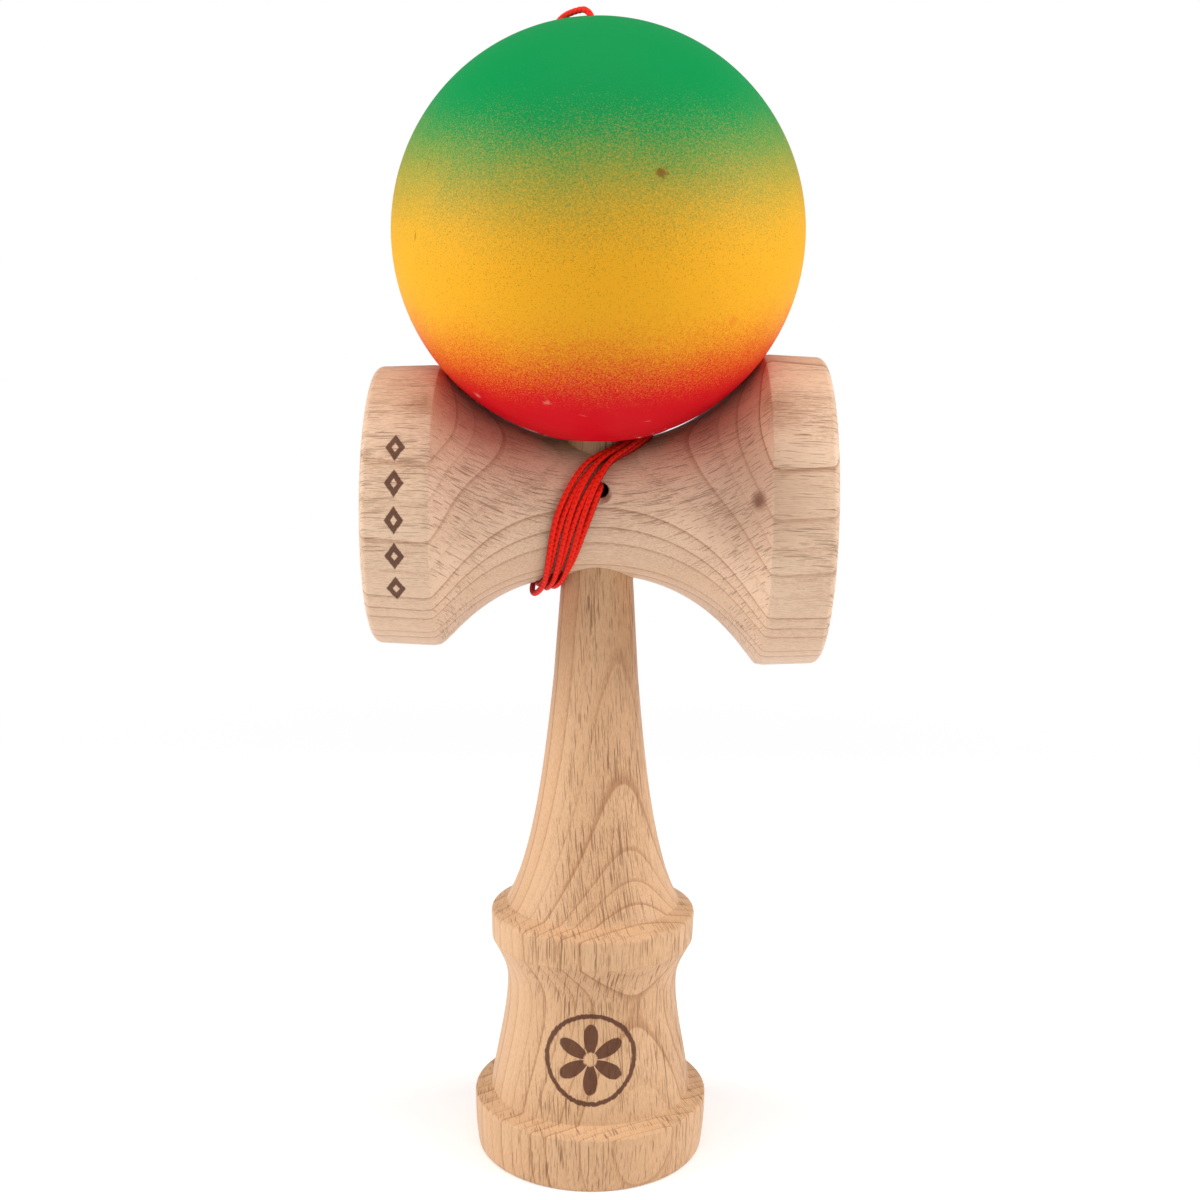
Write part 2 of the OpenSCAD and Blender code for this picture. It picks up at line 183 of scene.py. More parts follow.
def rounded(a, b, c, r, n=10):
    """The arc of radius r that rounds the corner b between a and c."""
    a, b, c = (np.array(p, float) for p in (a, b, c))
    to_a, to_c = (a - b) / np.linalg.norm(a - b), (c - b) / np.linalg.norm(c - b)
    half = math.acos(np.dot(to_a, to_c)) / 2
    middle = b + (to_a + to_c) / np.linalg.norm(to_a + to_c) * r / math.sin(half)
    start, end = b + to_a * r / math.tan(half) - middle, b + to_c * r / math.tan(half) - middle
    ways = [start + (end - start) * i / n for i in range(n + 1)]
    return np.array([middle + r * w / np.linalg.norm(w) for w in ways])


def bowl(mouth, depth, n=40):
    """A bowl's arc from its middle, at the height depth, out to its mouth at height 0."""
    r = (mouth ** 2 + depth ** 2) / (2 * depth)
    a = np.linspace(0, math.asin(mouth / r), n + 1)
    return np.stack([r * np.sin(a), depth - r + r * np.cos(a)], 1)


def cup_outline(length, d, band, pull, waist):
    """A cup from the waist to its rim, as [distance from the waist, radius] points."""
    bulge, draw, waist_pull, ridge_edge, rim_edge = 0.15, 0.35, 16, 0.45, 1.1
    ridge = np.array([length / 2 - band, d / 2 - bulge])
    swell = ridge + [1, bulge]
    rim = np.array([length / 2, d / 2 - draw])
    flare = bezier([0, waist / 2], [waist_pull, waist / 2], ridge - pull, ridge, 64)
    return np.concatenate([
        flare[:-1], rounded(flare[-2], ridge, swell, ridge_edge), [swell],
        rounded(swell, rim, rim - [0, 1], rim_edge),
    ])


def both_cups(settings):
    size = {name: getattr(settings, name) / MM for name in ("length", "big_cup", "small_cup", "waist")}
    big = cup_outline(size["length"], size["big_cup"], band=9.2, pull=[2.1, 2.1], waist=size["waist"])
    small = cup_outline(size["length"], size["small_cup"], band=9.7, pull=[2.6, 1.6], waist=size["waist"])
    return size, big, small


def smooth_route(points, step):
    """A smooth route through the points, with its own points a step apart."""
    p = np.array(points, float)
    p = np.concatenate([[2 * p[0] - p[1]], p, [2 * p[-1] - p[-2]]])
    fine = []
    for a, b, c, d in zip(p[:-3], p[1:-2], p[2:-1], p[3:]):
        ta, tb, tc, td = np.cumsum([0, *(math.sqrt(np.linalg.norm(v)) for v in (b - a, c - b, d - c))])
        t = np.linspace(tb, tc, 24, endpoint=False)[:, None]

        def between(start, end, low, high):
            return ((end - t) * low + (t - start) * high) / (end - start)

        ab, bc, cd = between(ta, tb, a, b), between(tb, tc, b, c), between(tc, td, c, d)
        abc, bcd = between(ta, tc, ab, bc), between(tb, td, bc, cd)
        fine.append(between(tb, tc, abc, bcd))
    fine = np.concatenate(fine + [p[-2:-1]])
    along = np.concatenate([[0], np.cumsum(np.linalg.norm(np.diff(fine, axis=0), axis=1))])
    places = np.linspace(0, along[-1], max(2, round(along[-1] / step)) + 1)
    return np.stack([np.interp(places, along, fine[:, k]) for k in range(3)], 1)


def hill(value, height, middle, width):
    return height * math.exp(-((value - middle) / width) ** 2)


class Winding:
    """The string's five and a half turns on the waist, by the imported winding's rule but drawn close.
    They go down the front, under it left of the shaft, up the back and over it right of the spike."""

    lay_x = [-3.5, -5, -6.3, -7.9, -7, -4.2, -1, 1.8, 4, 5.2, 2.7, -1]
    rings = 24
    step, per_layer, last = 1.74, 3, 131 / rings
    half = step * (per_layer - 0.5) / 2
    shaft_r, spike_r, bend_to = 5.5, 5.3, math.radians(60)
    # How much the strands draw together above and below, and how far the second layer stands off
    squeeze, layer_low, layer_rise = 0.38, 0.16, 0.72
    # The one loose loop below: how far it stands off and strays left, each with its turn and width
    slack, stray = (0.45, 3.25, 0.065), (1.3, 3.31, 0.08)

    def __init__(self, settings, string_d):
        size, big, small = both_cups(settings)
        self.x = np.concatenate([-small[::-1, 0], big[1:, 0]])
        self.r = np.concatenate([small[::-1, 1], big[1:, 1]])
        self.waist_r = size["waist"] / 2
        self.gap = string_d / 2 + 0.02

    def lay_at(self, turn):
        n = len(self.lay_x)
        place = (turn % 1) * n
        i = int(place)
        t = place - i
        a, b, c, d = (self.lay_x[(i + k) % n] for k in (-1, 0, 1, 2))
        return b + 0.5 * t * (c - a + t * (2 * a - 5 * b + 4 * c - d + t * (3 * (b - c) + d - a)))

    def clear_of(self, r, y):
        edge = r * math.sin(self.bend_to)
        if abs(y) < edge:
            return math.sqrt(r * r - y * y)
        return r * math.cos(self.bend_to) - (abs(y) - edge) * math.tan(self.bend_to)

    def point(self, turn):
        a = 2 * math.pi * turn
        ahead = self.lay_at(turn + 1 / self.rings) - self.lay_at(turn - 1 / self.rings)
        slant = math.hypot(1, ahead / (4 * math.pi / self.rings * self.waist_r))
        slant *= 1 - self.squeeze * math.sin(a) ** 2
        y, half = -(self.waist_r + self.gap) * math.cos(a), self.half * slant
        middle = self.lay_at(turn)
        if math.sin(a) < 0:
            middle = max(middle, self.clear_of(self.spike_r + self.gap, y) + half)
        else:
            middle = min(middle, -self.clear_of(self.shaft_r + self.gap, y) - half)
        climbed = min(1, max(0, 2 * (turn - self.per_layer + 0.5)))
        climbed = climbed * climbed * (3 - 2 * climbed)
        lane = (self.half - self.step * turn if turn < self.per_layer - 0.5
                else -self.half + self.step * max(0, turn - self.per_layer))
        layer = self.layer_low + self.layer_rise * math.sin(a) ** 2
        x = middle + lane * slant - hill(turn, *self.stray)
        wander = 0.06 * math.sin(7.3 * turn + 1.1) + 0.05 * math.sin(17.9 * turn)
        r = np.interp(x, self.x, self.r) + self.gap + layer * climbed + hill(turn, *self.slack)
        return [x + wander, -r * math.cos(a), sarado_z - r * math.sin(a)]


# Each point of the free stretch over the ball: its place along X from the ball's middle, its angle about X
# from straight behind up and over to the front, and its lift off the paint
lie_over = [
    (1.6, -34, 0.3), (1.1, -26, 0.06), (0.4, -17, 0.02), (-0.6, -8, 0.02), (-1.7, 3, 0.02), (-2.9, 14, 0.02),
    (-4.1, 25, 0.02), (-5.2, 36, 0.02), (-6.2, 46, 0.02), (-6.9, 56, 0.02), (-7.1, 66, 0.02), (-7, 75, 0.03),
    (-6.5, 83.5, 0.05), (-5.7, 90, 0.1), (-4.4, 95.5, 0.24),
]


def string_route(settings, step):
    """The whole string, from its knot in the handle round the waist, up behind the ball and down into it."""
    string, tama = settings.string, settings.tama
    string_r, tama_r = string.diameter / MM / 2, tama.diameter / MM / 2
    winding = Winding(settings.sarado, 2 * string_r)
    x, _, z = string_hole
    bend_r, sag, top_rise = 2.0, 0.6, 0.75
    from_axis = winding.waist_r + winding.gap - bend_r
    bend_z = z - sarado_z + sag - bend_r
    bend_y = -math.sqrt(from_axis ** 2 - bend_z ** 2)
    inside = [[x, 0.8, z], [x, -3, z + 0.3], [x, -6, z + sag - 0.05]]
    bend = np.linspace(math.radians(90), math.atan2(bend_z, bend_y), 5)
    mouth = [[x - 0.55 * t * t, bend_y + bend_r * math.cos(a), sarado_z + bend_z + bend_r * math.sin(a)]
             for t, a in zip(np.linspace(0, 1, 5), bend)]
    wound = [winding.point(i / winding.rings) for i in range(1, round(winding.last * winding.rings) + 1)]
    behind = [[1.6, 12.1, sarado_z + 0.8], [1.8, 12.6, sarado_z + 2.6], [1.8, 13.6, sarado_z + 6.2],
              [1.7, 15.2, sarado_z + 11.2], [1.2, 17, sarado_z + 16]]
    over = []
    for across, angle, lift in lie_over:
        r = math.sqrt((tama_r + string_r + lift) ** 2 - across ** 2)
        a = math.radians(angle)
        over.append(tama_middle + [across, r * math.cos(a), r * math.sin(a)])
    top = tama_middle + tama_axis * (tama_r + top_rise - bend_r)
    way = top - over[-1]
    way -= tama_axis * np.dot(way, tama_axis)
    way /= np.linalg.norm(way)
    down = [top - way * (bend_r + 0.2) + bend_r * (way * math.sin(a) + tama_axis * math.cos(a))
            for a in np.linspace(0, math.pi / 2, 5)]
    down += [tama_middle + tama_axis * h for h in (tama_r - 4.5, tama_r - 8, tama_r - 12)]
    down.append(tama_middle + tama_axis * (tama_r - tama.crown / MM - 6.4))
    return smooth_route(inside + mouth + wound + behind + over + down, step)


def tied_knot(size, n=48):
    """A closed overhand knot about the origin."""
    t = np.linspace(0, 2 * math.pi, n, endpoint=False)
    x, y = np.sin(t) + 2 * np.sin(2 * t), np.cos(t) - 2 * np.cos(2 * t)
    return np.stack([x, y, -1.6 * np.sin(3 * t)], 1) * size


# Nodes

class Nodes:
    """Adds nodes to a tree: an input that is given a socket is linked to it, and any other is set."""

    def __init__(self, tree):
        self.tree = tree

    def add(self, kind, inputs=None, **settings):
        node = self.tree.nodes.new(kind)
        for name, value in settings.items():
            setattr(node, name, value)
        for name, value in (inputs or {}).items():
            if isinstance(value, bpy.types.NodeSocket):
                self.tree.links.new(value, node.inputs[name])
            else:
                node.inputs[name].default_value = value
        return node

    def math(self, operation, *values, clamp=False):
        node = self.add("ShaderNodeMath", dict(enumerate(values)), operation=operation, use_clamp=clamp)
        return node.outputs[0]

    def times(self, a, b):
        return self.math("MULTIPLY", a, b)

    def plus(self, a, b, clamp=False):
        return self.math("ADD", a, b, clamp=clamp)

    def scaled(self, value, factor, shift):
        return self.math("MULTIPLY_ADD", value, factor, shift)

    def vector(self, operation, *values):
        node = self.add("ShaderNodeVectorMath", dict(enumerate(values)), operation=operation)
        return node.outputs[1 if operation in ("LENGTH", "DISTANCE", "DOT_PRODUCT") else 0]

    def parts(self, vector):
        return self.add("ShaderNodeSeparateXYZ", {0: vector}).outputs

    def joined(self, x, y, z):
        return self.add("ShaderNodeCombineXYZ", {0: x, 1: y, 2: z}).outputs[0]

    def rise(self, value, low, high):
        """0 up to low, 1 from high on and a smooth rise between, or a fall where low is above high."""
        if low > high:
            return self.math("SUBTRACT", 1.0, self.rise(value, high, low))
        return self.add("ShaderNodeMapRange", {"Value": value, "From Min": low, "From Max": high},
                        interpolation_type="SMOOTHSTEP").outputs[0]

    def mix(self, share, a, b):
        def four(v):
            return v if isinstance(v, bpy.types.NodeSocket) else (*v[:3], 1)
        return self.add("ShaderNodeMix", {0: share, 6: four(a), 7: four(b)}, data_type="RGBA").outputs[2]

    def noise(self, place, stretch, detail=1.0, roughness=0.5, shift=(0, 0, 0)):
        """Noise with stretch features to a unit of length along each axis."""
        place = self.mapped(place, "POINT", Location=shift, Scale=stretch)
        return self.add("ShaderNodeTexNoise", {
            "Vector": place, "Scale": 1.0, "Detail": detail, "Roughness": roughness}).outputs[0]

    def placed(self, middle, turn, scale):
        """Object coordinates in a frame with its own middle, turn and unit."""
        place = self.add("ShaderNodeTexCoord").outputs["Object"]
        return self.mapped(place, "TEXTURE", Location=middle, Rotation=turn, Scale=(scale, scale, scale))

    def mapped(self, vector, kind, **inputs):
        return self.add("ShaderNodeMapping", {"Vector": vector, **inputs}, vector_type=kind).outputs[0]

    def normal(self):
        return self.add("ShaderNodeNewGeometry").outputs["Normal"]

    def stored(self, geometry, name, value, data_type="FLOAT"):
        """The geometry with a value kept at each of its points under a name."""
        return self.add("GeometryNodeStoreNamedAttribute", {
            "Geometry": geometry, "Name": name, "Value": value},
            data_type=data_type, domain="POINT").outputs[0]

    def named(self, name):
        return self.add("GeometryNodeInputNamedAttribute", {"Name": name}, data_type="FLOAT").outputs[0]


def new_material(name, roughness, specular):
    material = bpy.data.materials.new(name)
    material.use_nodes = True
    shader = material.node_tree.nodes["Principled BSDF"]
    shader.inputs["Roughness"].default_value = roughness
    shader.inputs["Specular IOR Level"].default_value = specular
    return material, Nodes(material.node_tree), shader


def finish_material(nodes, shader, tint, rough, height, depth):
    """Links the colour, roughness and bump; depth is the height's full range in metres."""
    nodes.tree.links.new(tint, shader.inputs["Base Color"])
    nodes.tree.links.new(rough, shader.inputs["Roughness"])
    bump = nodes.add("ShaderNodeBump", {"Height": height, "Strength": 1.0, "Distance": depth})
    nodes.tree.links.new(bump.outputs[0], shader.inputs["Normal"])


def beech(name, look, pith, turn, burned=None, dark_spots=()):
    """Beech sanded smooth: growth rings about a pith, short dark flecks along the grain and fine fibres."""
    material, nodes, shader = new_material(name, 0.5, 0.35)
    grain = nodes.placed(pith, turn, MM)
    # Growth rings, uneven from year to year
    sway = nodes.scaled(nodes.noise(grain, (0.05, 0.05, 0.014), 1), look.sway / MM, -look.sway / MM / 2)
    across = nodes.vector("LENGTH", nodes.vector("MULTIPLY", grain, (1, 1, 0)))
    across = nodes.plus(across, sway)
    uneven = nodes.noise(nodes.joined(across, 0.0, 0.0), (0.21, 1, 1), 0)
    outer = nodes.math("MAXIMUM", nodes.math("SUBTRACT", across, look.pith / MM), 0.0)
    growth = nodes.scaled(nodes.math("POWER", outer, 2.0), look.tighten, across)
    years = nodes.math("DIVIDE", nodes.scaled(uneven, 4.0, growth), look.ring / MM)
    year = nodes.math("FRACT", years)
    season = nodes.noise(nodes.joined(nodes.math("FLOOR", years), 0.0, 0.0), (0.73, 1, 1), 0)
    late = nodes.times(nodes.rise(year, 0.8, 0.96), nodes.rise(year, 1.0, 0.975))
    late = nodes.times(late, nodes.scaled(nodes.rise(season, 0.38, 0.62), 0.8, 0.2))
    # Fibres, and rays that show as short flecks where the surface cuts across them
    fibre = nodes.noise(grain, (9, 9, 0.16), 3, 0.7)
    tooth = nodes.noise(grain, (7, 7, 1.3), 2, 0.7, shift=(5, 8, 2))
    patch = nodes.noise(grain, (0.11, 0.11, 0.03), 2, shift=(7, 3, 1))
    thick = nodes.scaled(patch, 0.3, -0.15)
    east, north, up = nodes.parts(grain)
    rays = nodes.joined(nodes.times(nodes.math("ARCTAN2", north, east), look.pith / MM), across, up)
    facing = nodes.mapped(nodes.normal(), "TEXTURE", Rotation=turn)
    round_pith = nodes.vector("NORMALIZE", nodes.joined(nodes.times(north, -1.0), east, 0.0))
    edge_on = nodes.math("ABSOLUTE", nodes.vector("DOT_PRODUCT", facing, round_pith))
    edge_on = nodes.rise(edge_on, 0.93, 0.6)
    fine = nodes.plus(nodes.noise(rays, (9, 0.7, 0.42), 0.5, shift=(3, 9, 5)), thick)
    fine = nodes.times(nodes.rise(fine, 0.61, 0.72), edge_on)
    fleck = nodes.plus(nodes.noise(rays, (8.5, 0.4, 0.2), 0, shift=(11, 2, 8)), thick)
    fleck = nodes.times(nodes.rise(fleck, 0.68, 0.75), edge_on)
    # Colour
    shade = nodes.scaled(late, look.rings, nodes.scaled(fibre, 1.5, -0.62))
    shade = nodes.plus(shade, nodes.scaled(tooth, 1.6, -0.78))
    shade = nodes.scaled(nodes.rise(year, 0.25, 0.9), 0.14, shade)
    shade = nodes.plus(shade, nodes.scaled(season, 0.6, -0.28))
    shade = nodes.plus(shade, nodes.scaled(patch, 0.5, -0.25), clamp=True)
    tint = nodes.mix(shade, look.pale, look.dark)
    tint = nodes.mix(nodes.times(late, look.rings * 0.35), tint, look.pore)
    tint = nodes.mix(nodes.times(fine, look.flecks * 0.6), tint, look.pore)
    tint = nodes.mix(nodes.times(fleck, look.flecks), tint, look.pore)
    for place, size, share in dark_spots:
        away = nodes.vector("LENGTH", nodes.placed(place, turn, size))
        away = nodes.plus(away, nodes.scaled(tooth, 0.8, -0.4))
        tint = nodes.mix(nodes.times(nodes.rise(away, 1.0, 0.2), share), tint, look.pore)
    hollows = nodes.math("MAXIMUM", nodes.times(fine, 0.6), fleck)
    if burned:
        mark = burned(nodes)
        char = nodes.mix(nodes.noise(grain, (2.5, 2.5, 0.6), 3), colour("38190C"), colour("6A351B"))
        tint = nodes.mix(nodes.times(mark, 0.92), tint, char)
        hollows = nodes.math("MAXIMUM", hollows, mark)
    height = nodes.scaled(hollows, -1.0, nodes.times(fibre, 0.3))
    rough = nodes.scaled(hollows, 0.2, nodes.scaled(fibre, 0.14, 0.4))
    finish_material(nodes, shader, tint, rough, height, 0.00006)
    return material


# A small dark knot, and two broad darker patches on the front of the flares beside the ball: place and size
# in metres, and strength
sarado_dark_spots = [
    ((0.0224, -0.0206, sarado_z * MM + 0.0034), 0.002, 1.0),
    ((0.0205, -0.0185, sarado_z * MM + 0.004), 0.013, 0.42),
    ((-0.019, -0.0165, sarado_z * MM + 0.001), 0.009, 0.14),
]


def ragged(nodes, place):
    """A little unevenness, in millimetres, for the edge of a burned mark."""
    return nodes.scaled(nodes.noise(place, (2.2, 2.2, 0.9), 2), 0.5, -0.25)


def neck_rosette(radius):
    """Six petals in a ring, burned into the front of the neck."""
    def mark(nodes):
        place = nodes.placed((0, 0, 0.0195), (0, 0, 0), MM)
        x, y, z = nodes.parts(place)
        out = nodes.vector("LENGTH", nodes.vector("MULTIPLY", place, (1, 0, 1)))
        out = nodes.plus(out, ragged(nodes, place))
        angle = nodes.times(nodes.math("ARCTAN2", x, z), 3.0)
        petal = nodes.math("POWER", nodes.math("ABSOLUTE", nodes.math("COSINE", angle)), 0.75)
        petal = nodes.math("SUBTRACT", nodes.times(petal, radius), out)
        petal = nodes.times(nodes.rise(petal, 0.1, 0.4), nodes.rise(out, 0.9, 1.2))
        ring = nodes.math("ABSOLUTE", nodes.math("SUBTRACT", out, radius + 1.0))
        ring = nodes.rise(ring, 0.45, 0.25)
        return nodes.times(nodes.math("MAXIMUM", petal, ring), nodes.rise(y, 0.0, -1.0))
    return mark


def band_lozenges(middle, radius):
    """A row of small lozenges burned round the front of the small cup's band."""
    spacing, outermost = 5.2, 2.0

    def mark(nodes):
        place = nodes.placed((middle * MM, 0, sarado_z * MM), (0, 0, 0), MM)
        x, y, z = nodes.parts(place)
        around = nodes.times(nodes.math("ARCTAN2", z, nodes.times(y, -1.0)), radius)
        number = nodes.math("ROUND", nodes.math("DIVIDE", around, spacing))
        number = nodes.math("MINIMUM", nodes.math("MAXIMUM", number, -outermost), outermost)
        along = nodes.math("ABSOLUTE", nodes.scaled(number, -spacing, around))
        reach = nodes.plus(nodes.times(nodes.math("ABSOLUTE", x), 1.45), along)
        reach = nodes.plus(reach, ragged(nodes, place))
        dot = nodes.rise(reach, 2.15, 1.85)
        eye = nodes.rise(reach, 0.55, 0.8)
        out = nodes.vector("LENGTH", nodes.vector("MULTIPLY", place, (0, 1, 1)))
        outside = nodes.rise(out, radius - 1.6, radius - 1)
        return nodes.times(nodes.times(dot, eye), outside)
    return mark


def sprayed_paint(look):
    """Three paints sprayed into each other in fine drops, with scuffs, and bare wood in the hole."""
    material, nodes, shader = new_material("Tama paint", 0.5, 0.06)
    place = nodes.placed(tama_middle * MM, tama_turn, look.diameter / 2)
    height = nodes.parts(place)[2]
    size = look.diameter / 2 / MM
    mist = nodes.noise(place, (size * 4.5,) * 3, 2, 0.7)
    cloud = nodes.noise(place, (3, 3, 3), 2, shift=(4, 1, 2))
    drift = nodes.scaled(nodes.math("SUBTRACT", mist, 0.5), 0.75, nodes.scaled(cloud, 0.12, -0.06))
    level = nodes.plus(height, drift)
    tint = nodes.mix(nodes.rise(level, -0.05, 0.66), look.middle_paint, look.crown_paint)
    tint = nodes.mix(nodes.rise(level, -0.18, -0.66), tint, look.foot_paint)
    drops = nodes.rise(nodes.noise(place, (size * 5.2,) * 3, 1, shift=(9, 5, 3)), 0.58, 0.72)
    over_middle = nodes.times(nodes.rise(height, -0.6, 0.05), nodes.rise(height, 0.8, 0.3))
    tint = nodes.mix(nodes.times(nodes.times(drops, over_middle), 0.5), tint, colour("6E6A22"))
    wear = nodes.noise(place, (26, 26, 26), 3, 0.65, shift=(2, 7, 6))

    def scuff(where, width, sharp):
        away = nodes.vector("DISTANCE", place, where)
        away = nodes.plus(away, nodes.scaled(wear, 2.2 * width, -1.1 * width))
        return nodes.rise(away, width, width * sharp)

    for where, width, sharp, share, code in scuffs:
        tint = nodes.mix(nodes.times(scuff(where, width, sharp), share), tint, colour(code))
    for start, end, width, code in scratches:
        start, way = Vector(start), Vector(end) - Vector(start)
        from_start = nodes.vector("SUBTRACT", place, start)
        along = nodes.vector("DOT_PRODUCT", from_start, way)
        share = nodes.math("DIVIDE", along, way.length_squared, clamp=True)
        nearest = nodes.vector("MULTIPLY", nodes.joined(share, share, share), way)
        away = nodes.vector("DISTANCE", from_start, nearest)
        line = nodes.times(nodes.rise(away, width, width * 0.3), nodes.rise(wear, 0.4, 0.55))
        tint = nodes.mix(nodes.times(line, 0.8), tint, colour(code))
    near_rim = nodes.times(nodes.rise(height, -0.84, -0.9), nodes.rise(cloud, 0.46, 0.6))
    chip = nodes.times(nodes.rise(nodes.scaled(near_rim, 0.07, wear), 0.69, 0.72), near_rim)
    tint = nodes.mix(chip, tint, look.primer)
    inside = nodes.rise(nodes.vector("LENGTH", place), 0.985, 0.965)
    bare = nodes.mix(nodes.noise(place, (40, 40, 6), 2), colour("C99E78"), colour("E3C19D"))
    tint = nodes.mix(inside, tint, bare)
    rough = nodes.scaled(mist, 0.16, nodes.scaled(inside, 0.2, 0.42))
    relief = nodes.scaled(chip, -1.5, mist)
    finish_material(nodes, shader, tint, rough, relief, 0.00004)
    return material


# Marks of use, at places on a ball of radius 1 about its own axis: place, width, sharpness, share and colour
# of each scuff, and start, end, width and colour of each scratch
scuffs = [
    ((0.272, -0.885, 0.379), 0.034, 0.3, 0.75, "7A4A1E"),
    ((-0.285, -0.748, 0.6), 0.012, 0.3, 0.5, "0B6E3C"),
    ((0.004, -0.832, 0.555), 0.012, 0.3, 0.5, "3E6A2A"),
    ((0.6, -0.749, -0.281), 0.03, 0.1, 0.5, "E8812A"),
    ((0.884, -0.343, -0.317), 0.035, 0.1, 0.5, "E8742A"),
    ((-0.865, -0.418, -0.278), 0.035, 0.1, 0.4, "EE8A33"),
    ((-0.592, -0.451, -0.668), 0.03, 0.3, 0.5, "F0A08C"),
    ((-0.251, -0.722, -0.645), 0.024, 0.3, 0.45, "F0A08C"),
]
scratches = [
    ((-0.746, -0.525, 0.409), (-0.826, -0.558, 0.078), 0.009, "8C6A20"),
    ((-0.101, -0.695, -0.712), (0.224, -0.59, -0.776), 0.007, "F07060"),
]


def braided(look):
    """Dyed thread in a round braid: the string's surface carries its angle and its length as an attribute."""
    material, nodes, shader = new_material("String braid", 0.6, 0.1)
    around = nodes.add("ShaderNodeAttribute", attribute_name="braid").outputs["Vector"]
    c, s, along = nodes.parts(around)
    angle = nodes.math("ARCTAN2", s, c)
    crest = braid_height(nodes, angle, along, look.braid / MM)
    thread = nodes.noise(nodes.joined(nodes.times(c, 0.5), nodes.times(s, 0.5), along), (9, 9, 3.5), 2)
    worn = nodes.noise(nodes.joined(c, s, along), (0.6, 0.6, 0.05), 2)
    shade = nodes.scaled(thread, 0.5, nodes.scaled(worn, 0.4, -0.45))
    shade = nodes.plus(nodes.rise(crest, -1.5, 0.7), shade, clamp=True)
    tint = nodes.mix(shade, look.deep, look.bright)
    # Painted shade: on the waist, the strands' sides that turn away from the outside are darkened towards the
    # shadow colour, where the loops of the winding touch
    place = nodes.placed((0, 0, sarado_z * MM), (0, 0, 0), MM)
    out = nodes.vector("MULTIPLY", place, (0, 1, 1))
    facing = nodes.vector("DOT_PRODUCT", nodes.normal(), nodes.vector("NORMALIZE", out))
    on_waist = nodes.rise(nodes.vector("LENGTH", out), 15.0, 12.0)
    between = nodes.times(nodes.rise(facing, 0.75, 0.1), on_waist)
    tint = nodes.mix(nodes.times(between, 0.8), tint, look.shadow)
    rough = nodes.scaled(thread, 0.2, 0.45)
    finish_material(nodes, shader, tint, rough, nodes.scaled(thread, 0.3, crest), 0.00003)
    shader.inputs["Sheen Weight"].default_value = 0.02
    return material


def braid_height(nodes, angle, along, pitch):
    """The braid's relief, 1 on the crests of its two crossing sets of threads; pitch may be a socket."""
    wave = nodes.math("DIVIDE", nodes.times(along, 2 * math.pi), pitch)
    double = nodes.times(angle, 2.0)
    return nodes.math("MAXIMUM", nodes.math("COSINE", nodes.plus(double, wave)),
                      nodes.math("COSINE", nodes.math("SUBTRACT", double, wave)))


# Geometry Nodes trees

def new_tree(name, inputs):
    tree = bpy.data.node_groups.new(name, "GeometryNodeTree")
    tree.interface.new_socket("Geometry", in_out="INPUT", socket_type="NodeSocketGeometry")
    for label, kind in inputs.items():
        tree.interface.new_socket(label, in_out="INPUT", socket_type="NodeSocket" + kind)
    tree.interface.new_socket("Geometry", in_out="OUTPUT", socket_type="NodeSocketGeometry")
    nodes = Nodes(tree)
    return tree, nodes, nodes.add("NodeGroupInput").outputs


def end_tree(nodes, geometry, material):
    smooth = nodes.add("GeometryNodeSetShadeSmooth", {"Geometry": geometry})
    real = nodes.add("GeometryNodeRealizeInstances", {"Geometry": smooth.outputs[0]})
    painted = nodes.add("GeometryNodeSetMaterial", {"Geometry": real.outputs[0], "Material": material})
    nodes.add("NodeGroupOutput", {"Geometry": painted.outputs[0]})


def turned_tree():
    """Turns an outline, drawn outward along X and down along Y from the path's circle, on a lathe."""
    tree, nodes, given = new_tree("Turned outline", {
        "Segments": "Int", "Path Radius": "Float", "Turn": "Rotation", "Place": "Vector",
        "Material": "Material"})
    circle = nodes.add("GeometryNodeCurvePrimitiveCircle", {
        "Resolution": given["Segments"], "Radius": given["Path Radius"]})
    skin = nodes.add("GeometryNodeCurveToMesh", {
        "Curve": circle.outputs[0], "Profile Curve": given["Geometry"]})
    closed = nodes.add("GeometryNodeMergeByDistance", {"Geometry": skin.outputs[0], "Distance": 1e-6})
    stood = nodes.add("GeometryNodeTransform", {
        "Geometry": closed.outputs[0], "Translation": given["Place"], "Rotation": given["Turn"]})
    end_tree(nodes, stood.outputs[0], given["Material"])
    return tree


def string_tree():
    """A tube along a curve with a round braid raised on it, and the attribute that its colours read."""
    tree, nodes, given = new_tree("Braided tube", {
        "Diameter": "Float", "Sides": "Int", "Braid": "Float", "Relief": "Float", "Material": "Material"})
    length = nodes.add("GeometryNodeSplineParameter").outputs["Length"]
    route = nodes.stored(given["Geometry"], "along", nodes.math("DIVIDE", length, MM))
    circle = nodes.add("GeometryNodeCurvePrimitiveCircle", {
        "Resolution": given["Sides"], "Radius": nodes.math("DIVIDE", given["Diameter"], 2.0)})
    turn = nodes.times(nodes.add("GeometryNodeSplineParameter").outputs["Factor"], 2 * math.pi)
    ring = nodes.stored(circle.outputs[0], "around", turn)
    tube = nodes.add("GeometryNodeCurveToMesh", {"Curve": route, "Profile Curve": ring, "Fill Caps": True})
    along, around = nodes.named("along"), nodes.named("around")
    carried = nodes.joined(nodes.math("COSINE", around), nodes.math("SINE", around), along)
    kept = nodes.stored(tube.outputs[0], "braid", carried, "FLOAT_VECTOR")
    pitch = nodes.math("DIVIDE", given["Braid"], MM)
    lift = nodes.scaled(braid_height(nodes, around, along, pitch), 0.5, -0.5)
    lift = nodes.times(lift, given["Relief"])
    normal = nodes.add("GeometryNodeInputNormal").outputs[0]
    outward = nodes.vector("MULTIPLY", normal, nodes.joined(lift, lift, lift))
    raised = nodes.add("GeometryNodeSetPosition", {"Geometry": kept, "Offset": outward})
    end_tree(nodes, raised.outputs[0], given["Material"])
    return tree


def add_object(name, data):
    obj = bpy.data.objects.new(name, data)
    bpy.context.scene.collection.objects.link(obj)
    return obj


